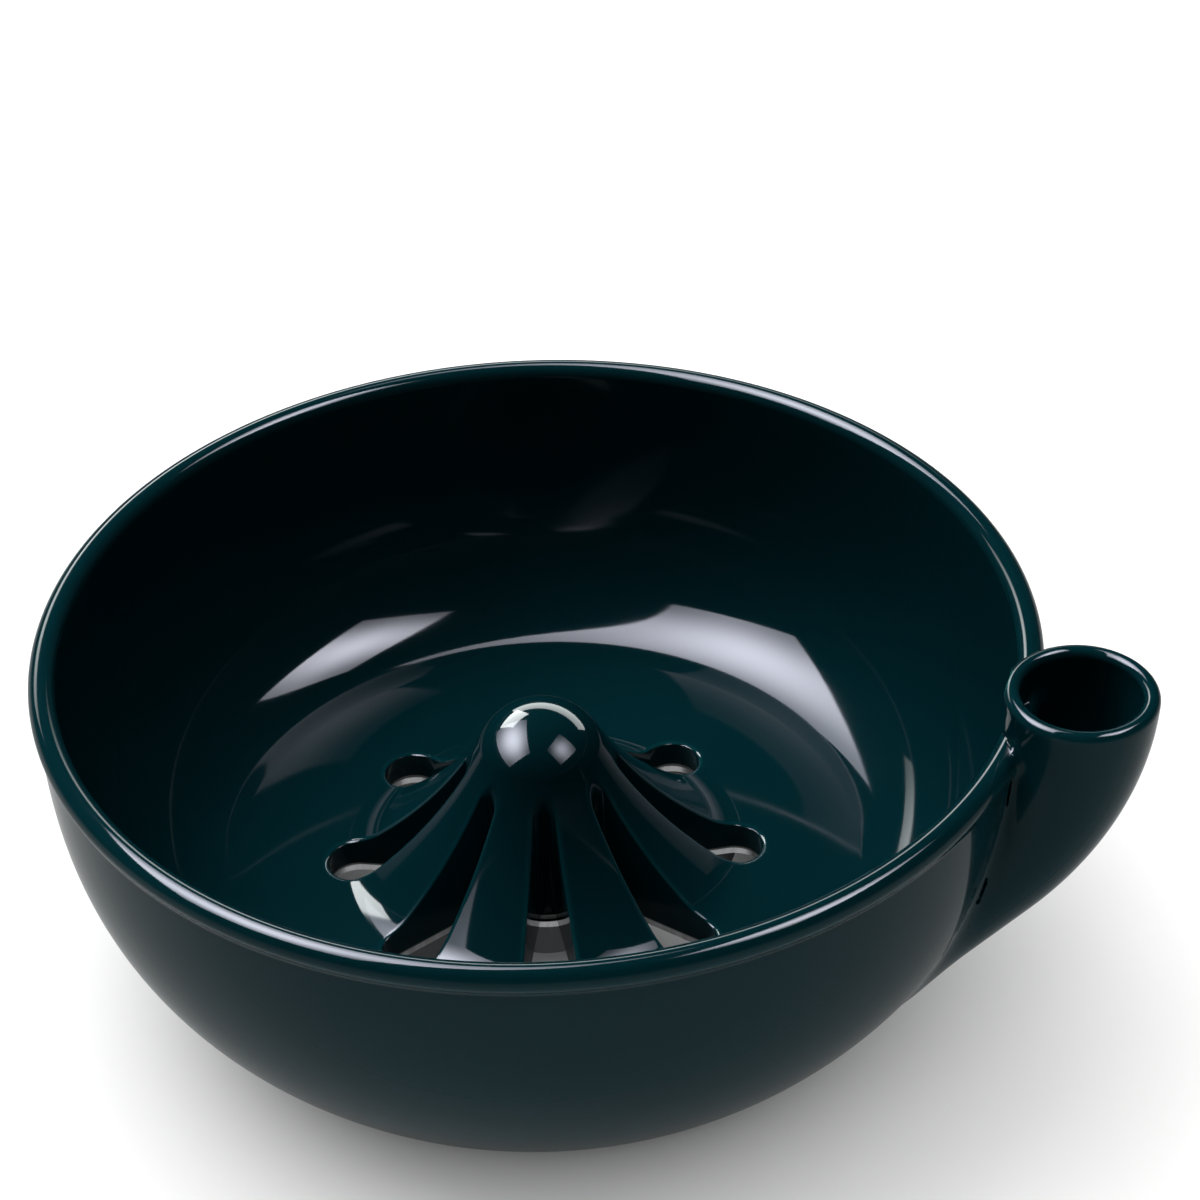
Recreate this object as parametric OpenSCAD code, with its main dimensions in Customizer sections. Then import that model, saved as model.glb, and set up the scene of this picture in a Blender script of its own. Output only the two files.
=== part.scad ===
// Soaking and straining bowl: glazed bowl, slotted cone, bent filling tube, flared foot,
// and a rotary shutter under the floor. Millimetres, +Z up, +X towards the tube's mouth.
// The origin is on the bowl's axis, on the table.

/* [Bowl] */
// Outside width over the rolled lip
rim_d = 200; // [190:1:215]
// Height of the lip's top over the table
rim_h = 80; // [76:1:88]
// Thickness of the rolled lip
lip_t = 5.4; // [4.6:0.1:6.4]
// How far the lip stands out from the outer wall
lip_proud = 1.1; // [0.6:0.1:1.6]
// Outside width of the foot where it meets the table
foot_d = 126; // [124:1:132]
// Fullness of the outer wall
belly_power = 2.8; // [2.5:0.1:3.2]
// Fullness of the inner cove
cove_power = 3; // [2.7:0.1:3.3]
// Width of the flat floor inside the cove
floor_d = 130; // [124:1:134]
// Height of the floor over the table
floor_h = 21; // [20.5:0.1:23]
// Thickness of the floor at its edge
floor_t = 6.7; // [6.2:0.1:7]
// Thickness of the flared foot, measured level
foot_t = 6.5; // [5:0.1:7.5]
// Small bevel on the foot's outer edge
foot_edge = 1; // [0.5:0.1:1.5]
// Joint between the cone's disc and the bowl's floor
seam_d = 117; // [114:1:120]

/* [Drain cone] */
// Height of the cone's tip over the floor
cone_h = 38; // [32:1:42]
// Radius of the domed tip
dome_r = 14; // [13.5:0.5:15]
// Radius of the flare into the floor
flare_r = 32; // [30:1:34]
// Steepest slope of the flank
flank_angle = 70; // [68:1:72]
// Solid core that the slots stop against
core_d = 26; // [24:1:27]
// Number of slots
slot_count = 8; // [6:1:8]
// Direction of the first slot, counted from the tube
slot_phase = 20; // [0:1:22]
// Radius of a slot's outer end
slot_end_r = 6; // [5:0.1:6.2]
// Where a slot's narrow end is centred
slot_root = 11; // [10:0.5:12]
// Radius of a slot's narrow end
slot_root_r = 1.6; // [1.2:0.1:1.8]

/* [Filling tube] */
// Width of the bore
tube_bore_d = 23; // [21:0.2:24]
// Thickness of the tube's wall
tube_wall = 3.2; // [2.6:0.1:3.4]
// How far the mouth's centre lies outside the lip
tube_out = 8.6; // [8:0.1:9]
// How far the mouth stands above the lip
tube_rise = 8; // [6:0.5:12]
// Straight part under the mouth
tube_straight = 6; // [5:0.5:9]
// Radius of the bend
bend_r = 30; // [28:1:34]
// How far the bend turns
bend_angle = 50; // [46:1:54]
// How much fuller the bend is than the straight parts that it joins
bend_swell = 0.05; // [0.04:0.01:0.1]
// How far the straight parts reach into the bend
bend_lap = 1; // [0.8:0.1:1.4]
// How far the tube is turned inward from running along the wall
turn_in = 60; // [56:1:64]
// Length of the tapered run below the bend
run_l = 36; // [34:1:38]
// How much narrower than the bend the run's end is
run_taper = 1.4; // [0.8:0.1:2]
// Width of the port through the bowl's wall
port_d = 16; // [12:0.5:17]
// Height of the port's centre
port_z = 51; // [49:0.5:53]
// How far round from the tube's mouth the port lies
port_turn = 5.5; // [5:0.1:6]
// How far the port leans from straight in, to send the water round
port_skew = 40; // [30:1:45]

/* [Shutter] */
// Thickness of the face seal
seal_t = 1.2; // [1:0.1:1.4]
// Width of seal left outside its windows
seal_rim = 2.7; // [2.4:0.1:3.2]
// Hole in the middle of the face seal
seal_hole_d = 18; // [17:0.5:19]
// Room between the shutter disc and the foot's opening
disc_gap = 0.9; // [0.6:0.1:1.5]
// Thickness of the shutter disc
disc_t = 1.5; // [1.2:0.1:1.5]
// How far the shutter turns from open to shut
shutter_turn = 22.5; // [20:0.5:22.5]
// How much wider a window is than the slot above it
window_gap = 0.8; // [0.5:0.1:0.9]
// Distance of a stop stud's centre from the disc's edge
stop_edge = 3.8; // [3.7:0.1:4.2]
// Distance of a stop stud's centre from the face seal
stop_seal = 3.3; // [3.1:0.1:3.6]
// Width of a stop stud's shoulder
stop_d = 4; // [3.6:0.1:4]
// Width of a stop stud's head
stop_head_d = 6.8; // [6.2:0.1:7]
// Height of a stop stud's head
stop_head_t = 1.5; // [1.2:0.1:1.8]
// Width of a stop stud's thread
stop_thread_d = 3; // [2.5:0.1:3]
// Width of a stop insert
stop_insert_d = 5; // [4.6:0.1:5.2]
// Length of a stop insert
stop_insert_l = 4.5; // [4:0.1:4.6]

/* [Grip] */
// Height of the finger grip
grip_h = 9; // [7:0.5:9.5]
// Width of a wing beside the hub
grip_waist = 7; // [6:0.5:8]
// Radius of a wing's outer end
grip_end_r = 5; // [4:0.5:5.5]
// Room between the grip's wings and the stop studs
grip_gap = 4.4; // [3.6:0.1:9]
// Radius of the grip's hub
grip_hub_r = 12; // [11.5:0.5:13]
// Distance of the rivets from the pivot
rivet_reach = 26; // [23:1:30]
// Width of a rivet's shank
rivet_d = 3; // [2.5:0.1:3]
// Width of a rivet's head and tail
rivet_head_d = 5.2; // [4.8:0.1:5.2]
// Height of a rivet's head and of its tail
rivet_head_t = 1.2; // [1:0.1:1.3]
// Thickness of grip that a rivet clamps
rivet_seat = 4; // [3:0.5:5]
// Width of the well that a rivet's tail lies in
rivet_well_d = 6; // [5.8:0.1:6.2]

/* [Pivot] */
// Width of the pivot bolt's shoulder
pivot_d = 6; // [5.5:0.1:6]
// Width of the pivot bolt's head
pivot_head_d = 12; // [11:0.5:12.5]
// Height of the pivot bolt's head
pivot_head_t = 2.4; // [2:0.1:2.6]
// Width of the pivot bolt's thread
pivot_thread_d = 5; // [4:0.5:5]
// Length of the pivot bolt's thread
pivot_thread_l = 8; // [6:0.5:9]
// Width across the corners of the hexagon socket
hex_d = 4.6; // [4:0.1:5]
// Depth of the hexagon socket
hex_t = 1.5; // [1.2:0.1:1.7]
// Width of the pivot insert
pivot_insert_d = 7.2; // [7:0.1:8]
// Length of the pivot insert
pivot_insert_l = 10; // [9:0.5:11]
// Height of the gripping grooves in the inserts
groove_h = 1; // [0.8:0.1:1.2]
// Depth of the gripping grooves in the inserts
groove_t = 0.4; // [0.2:0.1:0.4]
// Outside width of the bushing's barrel
barrel_d = 10; // [9:0.5:10.5]
// How far the bushing's barrel comes out below the disc
barrel_proud = 1.2; // [1:0.1:1.4]
// Width of the bushing's flange
flange_d = 16; // [14:0.5:16.5]
// Thickness of the bushing's flange
flange_t = 1.1; // [0.9:0.1:1.1]
// Width of the coned spring washer
spring_d = 11.6; // [10.5:0.1:11.8]
// Height of the coned spring washer
spring_h = 1; // [0.8:0.1:1.1]
// Thickness of the coned spring washer
spring_t = 0.5; // [0.4:0.1:0.5]
// Small bevel on turned hardware
edge = 0.4; // [0.3:0.1:0.5]
// Running clearance between bushing and bolt
running_gap = 0.05; // [0.03:0.01:0.08]
// Gap kept between the shutter and the fixed pieces
face_gap = 0.3; // [0.3:0.05:0.4]
// Gap left for cement round the inserts
cement_gap = 0.05; // [0.03:0.01:0.1]

/* [Hidden] */
$fn = 96;

glaze = [0.02, 0.10, 0.12];
clay = [0.03, 0.13, 0.14];
rim_r = rim_d / 2;
lip_r = lip_t / 2;
lip_z = rim_h - lip_r;
lip_in = rim_r - lip_t;
wall_top_r = rim_r - lip_proud;
lip_turn = acos((wall_top_r - rim_r + lip_r) / lip_r);
foot_r = foot_d / 2;
floor_r = floor_d / 2;
seam_r = seam_d / 2;
under_z = floor_h - floor_t;
pocket_z = under_z + seal_t;
reach_past = 1;

flank_l = (cone_h - (dome_r + flare_r) * (1 - cos(flank_angle))) / sin(flank_angle);
flare_end = (dome_r + flare_r) * sin(flank_angle) + flank_l * cos(flank_angle);
tip_z = floor_h + cone_h;
core_r = core_d / 2;
disc_r = foot_r - foot_t - disc_gap;
stop_reach = disc_r - stop_edge;
seal_r = stop_reach - stop_seal;
slot_reach = seal_r - seal_rim - window_gap / 2 - slot_end_r;
pocket_r = seal_r + cement_gap;
slot_pitch = 360 / slot_count;
spoke_dir = slot_phase + slot_pitch / 2;

tube_reach = rim_r + tube_out;
tube_bore_r = tube_bore_d / 2;
tube_r = tube_bore_r + tube_wall;
mouth_z = rim_h + tube_rise;
bend_z = mouth_z - tube_straight;
notch_z = lip_z - lip_r * sin(lip_turn);
inlet_dir = 270 - turn_in;
run_end_r = tube_r - run_taper / 2;

disc_top = under_z - face_gap;
disc_low = disc_top - disc_t;
flange_r = flange_d / 2;
barrel_r = barrel_d / 2;
barrel_low = disc_low - barrel_proud;
shoulder_r = pivot_d / 2;
head_r = pivot_head_d / 2;
head_top = barrel_low - face_gap - spring_h;
spring_r = spring_d / 2;
thread_r = pivot_thread_d / 2;
insert_r = pivot_insert_d / 2;

stop_r = stop_d / 2;
stop_head_r = stop_head_d / 2;
stop_thread_r = stop_thread_d / 2;
stop_insert_r = stop_insert_d / 2;
stop_slot_r = stop_r + face_gap;
stop_half_turn = asin(stop_slot_r / stop_reach);

grip_reach = stop_reach - stop_head_r - grip_gap - grip_end_r;
grip_top = disc_low;
grip_low = grip_top - grip_h;
grip_hole_r = (grip_hub_r + head_r) / 2 - edge;
rivet_r = rivet_d / 2;
rivet_head_r = rivet_head_d / 2;
rivet_well_r = rivet_well_d / 2;

// Points along an arc, from one angle to another
function arc(cx, cz, r, from, to, steps) =
    [for (i = [0 : steps]) let (a = from + (to - from) * i / steps) [cx + r * cos(a), cz + r * sin(a)]];

// Outer wall's radius at a height
function wall_r(z) = foot_r + (wall_top_r - foot_r) * (1 - pow(1 - z / lip_z, belly_power));

// Inner wall from the floor (t = 0) to the lip (t = 90)
function cove_r(t) = floor_r + (lip_in - floor_r) * sin(t);
function cove_z(t) = floor_h + (lip_z - floor_h) * (1 - pow(pow(cos(t), 2), 1 / cove_power));

// Outer wall up to, but not with, its last point
function outer_points(low, high, steps) =
    [for (i = [0 : steps - 1]) let (z = low + (high - low) * i / steps) [wall_r(z), z]];
outer_wall = outer_points(under_z, notch_z, 20);
foot_wall = outer_points(foot_edge, under_z, 6);

// Inner wall from just under the lip down to the floor
function inner_points(steps) =
    [for (i = [steps - 1 : -1 : 0]) let (t = 90 * i / steps) [cove_r(t), cove_z(t)]];

// What the tube is trimmed against: foot and bowl, and the bowl's inside above the wall
module bowl_block() {
    rotate_extrude()
        polygon(concat([[0, 0], [foot_r - foot_edge, 0]], foot_wall, outer_wall,
                       [[wall_top_r, notch_z], [lip_in, notch_z], [lip_in, mouth_z + reach_past],
                        [0, mouth_z + reach_past]]));
}

// Straight top and bend of the tube, solid
module tube_body() {
    translate([tube_reach, 0, bend_z - bend_lap])
        cylinder(r = tube_r, h = tube_straight + bend_lap);
    tube_bend(tube_r);
}

// Part of the tube that stands in the lip's notch
module tube_in_notch() {
    intersection() {
        tube_body();
        translate([tube_reach, 0, notch_z])
            cylinder(r = 2 * tube_r, h = mouth_z);
    }
}

// Bend that turns the tube down and along the wall, as a sector of a ring
module tube_bend(r) {
    translate([tube_reach, 0, bend_z])
        rotate([0, 0, inlet_dir])
            translate([bend_r, 0, 0])
                rotate([90, 0, 0])
                    rotate([0, 0, 180])
                        rotate_extrude(angle = bend_angle)
                            translate([bend_r, 0])
                                circle(r = r + bend_swell);
}

// Tapered run that carries the tube down into the wall
module tube_run(r, end_r) {
    translate([tube_reach, 0, bend_z])
        rotate([0, 0, inlet_dir])
            translate([bend_r * (1 - cos(bend_angle)), 0, -bend_r * sin(bend_angle)])
                rotate([0, 180 - bend_angle, 0])
                    translate([0, 0, -bend_lap])
                        cylinder(r1 = r, r2 = end_r, h = run_l + bend_lap);
}

// Plan of one slot, widened by a margin, as a tapered finger with a round end
module slot_plan(margin) {
    lean = asin((slot_end_r - slot_root_r) / (slot_reach - slot_root));
    root_r = slot_root_r + margin;
    end_r = slot_end_r + margin;
    polygon([[slot_root - root_r * sin(lean), root_r * cos(lean)],
             [slot_reach - end_r * sin(lean), end_r * cos(lean)],
             [slot_reach - end_r * sin(lean), -end_r * cos(lean)],
             [slot_root - root_r * sin(lean), -root_r * cos(lean)]]);
    translate([slot_reach, 0])
        circle(r = end_r);
}

// All slots or windows between two heights, outside a solid core
module slot_cutters(margin, low, high) {
    difference() {
        for (i = [0 : slot_count - 1])
            rotate([0, 0, slot_phase + slot_pitch * i])
                translate([0, 0, low])
                    linear_extrude(height = high - low)
                        slot_plan(margin);
        translate([0, 0, low - reach_past])
            cylinder(r = core_r + margin, h = high - low + 2 * reach_past);
    }
}

// Places something at both stop studs
module at_stops(height) {
    for (side = [0, 180])
        rotate([0, 0, spoke_dir + side])
            translate([stop_reach, 0, height])
                children();
}

// Places something at both rivets
module at_rivets(height) {
    for (side = [0, 180])
        rotate([0, 0, spoke_dir + side])
            translate([rivet_reach, 0, height])
                children();
}

// First of the ceramic pieces: rim, wall, cove and outer ring of the floor, notched for the
// tube, with the water port
module bowl_shell() {
    color(glaze)
        difference() {
            rotate_extrude()
                polygon(concat([[seam_r, floor_h], [seam_r, under_z]], outer_wall,
                               arc(rim_r - lip_r, lip_z, lip_r, -lip_turn, 180, 12),
                               inner_points(18)));
            tube_in_notch();
            rotate([0, 0, -port_turn])
                translate([wall_r(port_z), 0, port_z])
                    rotate([0, 90, 180 + port_skew])
                        cylinder(r = port_d / 2, h = port_d, center = true);
        }
}

// Disc of floor with the bell-shaped cone, slots, and seats for the inserts and the seal
module drain_cone() {
    color(glaze)
        difference() {
            rotate_extrude()
                polygon(concat([[0, pocket_z], [pocket_r, pocket_z], [pocket_r, under_z],
                                [seam_r, under_z], [seam_r, floor_h]],
                               arc(flare_end, floor_h + flare_r, flare_r, 270, 270 - flank_angle, 14),
                               arc(0, tip_z - dome_r, dome_r, 90 - flank_angle, 90, 12)));
            slot_cutters(0, under_z, tip_z);
            translate([0, 0, pocket_z - reach_past])
                cylinder(r = insert_r + cement_gap, h = pivot_insert_l + cement_gap + reach_past);
            at_stops(under_z - reach_past)
                cylinder(r = stop_insert_r + cement_gap, h = stop_insert_l + cement_gap + reach_past);
        }
}

// Bent tube with a rounded mouth, set in the lip and luted on the outer wall
module fill_tube() {
    color(clay)
        difference() {
            union() {
                translate([tube_reach, 0, bend_z])
                    rotate_extrude()
                        polygon(concat([[0, -bend_lap], [tube_r, -bend_lap]],
                                       arc(tube_r - tube_wall / 2, tube_straight - tube_wall / 2,
                                           tube_wall / 2, 0, 180, 10),
                                       [[0, tube_straight - tube_wall / 2]]));
                tube_bend(tube_r);
                tube_run(tube_r, run_end_r);
            }
            union() {
                translate([tube_reach, 0, bend_z - bend_lap])
                    cylinder(r = tube_bore_r, h = tube_straight + bend_lap);
                tube_bend(tube_bore_r);
                tube_run(tube_bore_r, run_end_r - tube_wall);
            }
            bowl_block();
        }
}

// Flared foot that carries the outer curve down to the table
module foot_ring() {
    color(clay)
        rotate_extrude()
            polygon(concat([[wall_r(under_z) - foot_t, under_z], [wall_r(foot_edge) - foot_t, foot_edge],
                            [wall_r(0) - foot_t + foot_edge, 0], [foot_r - foot_edge, 0]],
                           foot_wall, [[wall_r(under_z), under_z]]));
}

// Soft seal with a window under each slot, bonded in its pocket
module shutter_seal() {
    color([0.75, 0.75, 0.72])
        difference() {
            translate([0, 0, under_z])
                cylinder(r = seal_r, h = seal_t);
            translate([0, 0, under_z - reach_past])
                cylinder(r = seal_hole_d / 2, h = seal_t + 2 * reach_past);
            slot_cutters(window_gap / 2, under_z - reach_past, pocket_z + reach_past);
        }
}

// Turning disc with eight windows, two arc slots and the hub hole
module drain_shutter() {
    color([0.72, 0.73, 0.75])
        difference() {
            translate([0, 0, disc_low])
                cylinder(r = disc_r, h = disc_t);
            translate([0, 0, disc_low - reach_past])
                cylinder(r = barrel_r + cement_gap, h = disc_t + 2 * reach_past);
            slot_cutters(window_gap, disc_low - reach_past, disc_top + reach_past);
            for (side = [0, 180])
                rotate([0, 0, spoke_dir - shutter_turn - stop_half_turn + side])
                    translate([0, 0, disc_low - reach_past])
                        stop_slot();
            at_rivets(disc_low - reach_past)
                cylinder(r = rivet_r + cement_gap, h = disc_t + 2 * reach_past);
            at_rivets(disc_top - rivet_head_t)
                cylinder(r1 = rivet_r + cement_gap, r2 = rivet_head_r + cement_gap, h = rivet_head_t);
        }
}

// Arc slot with flat ends that a stop stud runs in
module stop_slot() {
    rotate_extrude(angle = shutter_turn + 2 * stop_half_turn)
        translate([stop_reach - stop_slot_r, 0])
            square([2 * stop_slot_r, disc_t + 2 * reach_past]);
}

// Flanged bushing in the disc's hub hole
module hub_bushing() {
    color([0.9, 0.9, 0.86])
        rotate_extrude()
            polygon([[shoulder_r + running_gap, barrel_low], [barrel_r - edge, barrel_low],
                     [barrel_r, barrel_low + edge], [barrel_r, disc_top], [flange_r, disc_top],
                     [flange_r, disc_top + flange_t], [shoulder_r + running_gap, disc_top + flange_t]]);
}

// Bow-tie finger grip with a well for each rivet
module turning_grip() {
    color([0.12, 0.13, 0.14])
        difference() {
            intersection() {
                grip_block();
                grip_bevel();
            }
            translate([0, 0, grip_low - reach_past])
                cylinder(r = grip_hole_r, h = grip_h + 2 * reach_past);
            at_rivets(grip_low - reach_past)
                cylinder(r = rivet_r + cement_gap, h = grip_h + 2 * reach_past);
            at_rivets(grip_low - reach_past)
                cylinder(r = rivet_well_r, h = grip_h - rivet_seat + reach_past);
        }
}

// Round hub and two widening wings, before the edge is sloped
module grip_block() {
    union() {
        translate([0, 0, grip_low])
            cylinder(r = grip_hub_r, h = grip_h);
        rotate([0, 0, spoke_dir])
            translate([0, 0, grip_low])
                linear_extrude(height = grip_h)
                    polygon([[0, grip_waist / 2], [grip_reach, grip_end_r], [grip_reach, -grip_end_r],
                             [0, -grip_waist / 2], [-grip_reach, -grip_end_r], [-grip_reach, grip_end_r]]);
        for (side = [0, 180])
            rotate([0, 0, spoke_dir + side])
                translate([grip_reach, 0, grip_low])
                    cylinder(r = grip_end_r, h = grip_h);
    }
}

// Turned outline that slopes the grip's lower outer edge
module grip_bevel() {
    wing_end = grip_reach + grip_end_r;
    rotate_extrude()
        polygon([[0, grip_low], [wing_end - grip_end_r, grip_low], [wing_end, grip_low + grip_end_r],
                 [wing_end + edge, grip_top], [0, grip_top]]);
}

// Two rivets with a sunk head above and a formed tail below
module grip_rivets() {
    color([0.8, 0.8, 0.82])
        at_rivets(0)
            rotate_extrude()
                polygon([[0, disc_top], [rivet_head_r, disc_top], [rivet_r, disc_top - rivet_head_t],
                         [rivet_r, grip_top - rivet_seat], [rivet_head_r, grip_top - rivet_seat],
                         [rivet_head_r - edge, grip_top - rivet_seat - rivet_head_t],
                         [0, grip_top - rivet_seat - rivet_head_t]]);
}

// Threaded insert with two gripping grooves, cemented up into the cone's core
module pivot_insert() {
    color([0.78, 0.62, 0.3])
        translate([0, 0, pocket_z])
            difference() {
                cylinder(r = insert_r, h = pivot_insert_l);
                translate([0, 0, -reach_past])
                    cylinder(r = thread_r + cement_gap, h = pivot_insert_l + 2 * reach_past);
                for (groove_share = [1 / 3, 2 / 3])
                    translate([0, 0, pivot_insert_l * groove_share])
                        insert_groove(insert_r);
            }
}

// Cutter for a gripping groove round an insert
module insert_groove(r) {
    difference() {
        cylinder(r = r + reach_past, h = groove_h, center = true);
        cylinder(r = r - groove_t, h = groove_h + reach_past, center = true);
    }
}

// Shoulder bolt with a hexagon socket in its head
module pivot_bolt() {
    color([0.7, 0.7, 0.72])
        difference() {
            rotate_extrude()
                polygon([[0, pocket_z + pivot_thread_l], [thread_r - edge, pocket_z + pivot_thread_l],
                         [thread_r, pocket_z + pivot_thread_l - edge], [thread_r, pocket_z],
                         [shoulder_r, pocket_z], [shoulder_r, head_top], [head_r, head_top],
                         [head_r, head_top - pivot_head_t + edge], [head_r - edge, head_top - pivot_head_t],
                         [0, head_top - pivot_head_t]]);
            translate([0, 0, head_top - pivot_head_t - reach_past])
                linear_extrude(height = hex_t + reach_past)
                    circle(d = hex_d, $fn = 6);
        }
}

// Coned spring washer between the bolt's head and the bushing
module spring_washer() {
    color([0.6, 0.61, 0.63])
        rotate_extrude()
            polygon([[spring_r, head_top], [spring_r, head_top + spring_t],
                     [shoulder_r + running_gap, head_top + spring_h],
                     [shoulder_r + running_gap, head_top + spring_h - spring_t]]);
}

// Two short inserts cemented up into the floor
module stop_inserts() {
    color([0.78, 0.62, 0.3])
        at_stops(under_z)
            difference() {
                cylinder(r = stop_insert_r, h = stop_insert_l);
                translate([0, 0, -reach_past])
                    cylinder(r = stop_thread_r + cement_gap, h = stop_insert_l + 2 * reach_past);
                translate([0, 0, stop_insert_l / 2])
                    insert_groove(stop_insert_r);
            }
}

// Two studs whose shoulders run in the arc slots and whose heads carry the disc's edge
module stop_studs() {
    stud_top = disc_low - face_gap;
    color([0.7, 0.7, 0.72])
        at_stops(0)
            rotate_extrude()
                polygon([[0, under_z + stop_insert_l - edge], [stop_thread_r, under_z + stop_insert_l - edge],
                         [stop_thread_r, under_z], [stop_r, under_z], [stop_r, stud_top],
                         [stop_head_r, stud_top], [stop_head_r, stud_top - stop_head_t + edge],
                         [stop_head_r - edge, stud_top - stop_head_t], [0, stud_top - stop_head_t]]);
}

bowl_shell();
drain_cone();
fill_tube();
foot_ring();
shutter_seal();
drain_shutter();
hub_bushing();
turning_grip();
grip_rivets();
pivot_insert();
pivot_bolt();
spring_washer();
stop_inserts();
stop_studs();
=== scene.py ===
# %% [markdown]
# # A glazed soaking and straining bowl
# The CAD part is loaded first and stays as the fixed frame. Everything that is modelled here is
# in metres, in the same frame: the bowl stands on z = 0 and the filling tube points to +X.

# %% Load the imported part
import math

import bmesh
import bpy
import numpy as np
from mathutils import Matrix, Vector


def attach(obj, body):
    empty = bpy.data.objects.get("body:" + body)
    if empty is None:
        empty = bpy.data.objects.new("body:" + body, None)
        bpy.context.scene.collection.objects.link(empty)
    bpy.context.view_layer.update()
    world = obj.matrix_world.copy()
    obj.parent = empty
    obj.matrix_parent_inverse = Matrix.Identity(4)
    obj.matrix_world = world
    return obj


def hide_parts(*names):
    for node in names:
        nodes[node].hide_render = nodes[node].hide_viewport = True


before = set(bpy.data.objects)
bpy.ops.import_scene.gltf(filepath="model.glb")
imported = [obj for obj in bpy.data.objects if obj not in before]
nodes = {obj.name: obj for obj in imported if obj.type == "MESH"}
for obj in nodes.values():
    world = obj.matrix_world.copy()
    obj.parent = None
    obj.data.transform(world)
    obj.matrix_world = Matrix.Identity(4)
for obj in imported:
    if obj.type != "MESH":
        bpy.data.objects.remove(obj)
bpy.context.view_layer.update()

# %% [markdown]
# ## Sizes
# A potter would call these the drawing's sizes. They are the ones that the CAD part was drawn
# with, so that the glazed skins below sit on the clay bodies that they replace. Only the slotted
# cone was drawn again, nearer to the photograph.

# %% Sizes of the bowl, in metres
MM = 0.001
RIM_R, RIM_H, LIP_R = 100 * MM, 80 * MM, 2.7 * MM
LIP_Z, LIP_MID, LIP_IN = RIM_H - LIP_R, RIM_R - LIP_R, RIM_R - 2 * LIP_R
LIP_FILL = 1.0 * MM
FOOT_R, WALL_TOP, BELLY = 63 * MM, 98.9 * MM, 2.8
FLOOR_R, FLOOR_Z, UNDER_Z, SEAM_R = 65 * MM, 21 * MM, 14.3 * MM, 58.5 * MM
COVE_H, COVE_POWER = LIP_Z - FLOOR_Z, 3
print("rim radius", RIM_R, "rim height", RIM_H)

# %% [markdown]
# ## Shapes as rules
# Thick glaze rounds every edge and fills every corner a little, which a cut or a join between
# meshes does not do. So each shape is also written as a rule: a function that gives how far a
# point lies outside the surface. Two rules are joined or cut with a soft corner, and the
# meshes made below are then settled onto the rule, which rounds their edges like glaze.

# %% Soft joins and cuts between rules


def soft_join(a, b, width):
    """Union of two rules, with the inner corner filled over a width."""
    h = np.maximum(width - np.abs(a - b), 0) / width
    return np.minimum(a, b) - h * h * width / 4


def soft_cut(a, b, width):
    """What both rules keep, with the outer corner rounded over a width."""
    return -soft_join(-a, -b, width)


def slope_of(rule, points, step=2e-5):
    """The rule's gradient at each point, which is the direction straight out of the surface."""
    out = np.empty_like(points)
    for axis in range(3):
        shift = np.zeros(3)
        shift[axis] = step
        out[:, axis] = (rule(points + shift) - rule(points - shift)) / (2 * step)
    return out


def bend_of(rule, points, step=4e-4):
    """How sharply the surface turns at each point: above zero on edges, below zero in corners."""
    total = -6 * rule(points)
    for axis in range(3):
        shift = np.zeros(3)
        shift[axis] = step
        total += rule(points + shift) + rule(points - shift)
    return total / (step * step)


print("a soft join over 4 mm fills a corner by", -soft_join(0.0, 0.0, 4 * MM) / MM, "mm")

# %% Rules for the wall and the cove


def wall_radius(z):
    """Outside radius of the wall at a height: widest at the lip, drawn in to the foot."""
    return FOOT_R + (WALL_TOP - FOOT_R) * (1 - np.clip(1 - z / LIP_Z, 0, 1) ** BELLY)


def outer_wall(rho, z):
    """How far a point lies outside the outer wall."""
    share = np.clip(1 - z / LIP_Z, 0, 1)
    lean = (WALL_TOP - FOOT_R) * BELLY / LIP_Z * share ** (BELLY - 1)
    return (rho - wall_radius(z)) / np.sqrt(1 + lean * lean)


def cove_radius(z):
    """Inside radius at a height: the wall runs down into the floor in one soft curve."""
    share = np.clip(1 - (z - FLOOR_Z) / COVE_H, 0, 1)
    return FLOOR_R + (LIP_IN - FLOOR_R) * np.sqrt(np.maximum(1 - share**COVE_POWER, 0))


def inner_wall(rho, z):
    """How far a point lies behind the inner wall, in the clay or beyond it."""
    share = np.clip(1 - (z - FLOOR_Z) / COVE_H, 0, 1)
    root = np.sqrt(np.maximum(1 - share**COVE_POWER, 1e-6))
    lean = (LIP_IN - FLOOR_R) * COVE_POWER / 2 * share * share / (root * COVE_H)
    return (cove_radius(z) - rho) / np.sqrt(1 + lean * lean)


print("wall radius at the table", round(float(wall_radius(0.0)) / MM, 1), "mm")

# %% Rules for the whole bowl


def from_axis(points):
    """Distance from the bowl's axis, and height, of each point."""
    return np.hypot(points[:, 0], points[:, 1]), points[:, 2]


def bowl_skin(points):
    """The thrown bowl without its joints: outer wall, rolled lip, inner wall and floor."""
    rho, z = from_axis(points)
    lip = np.hypot(rho - LIP_MID, z - LIP_Z) - LIP_R
    skin = soft_join(outer_wall(rho, z), lip, LIP_FILL)
    over_cove = np.where(z > FLOOR_Z, inner_wall(rho, z), -1.0)
    inside = np.where(rho < FLOOR_R, z - FLOOR_Z, over_cove)
    return np.where(z >= LIP_Z, lip, np.maximum(skin, inside))


def bowl_body(points):
    """The bowl as one luted piece: flat below, and open in the middle for the slotted cone."""
    rho, z = from_axis(points)
    return np.maximum(np.maximum(bowl_skin(points), UNDER_Z - z), SEAM_R - rho)


print("the rule at the lip's top:", round(bowl_skin(np.array([[LIP_MID, 0, RIM_H]]))[0] / MM, 3))

# %% [markdown]
# ## Filling tube
# The tube is a thrown horn: round and level at the mouth, bent once, and drawn thinner towards
# the end that is let into the wall. Its rule follows one line, a short straight, an arc and a
# long straight, and asks how far a point is from that line.

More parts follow.
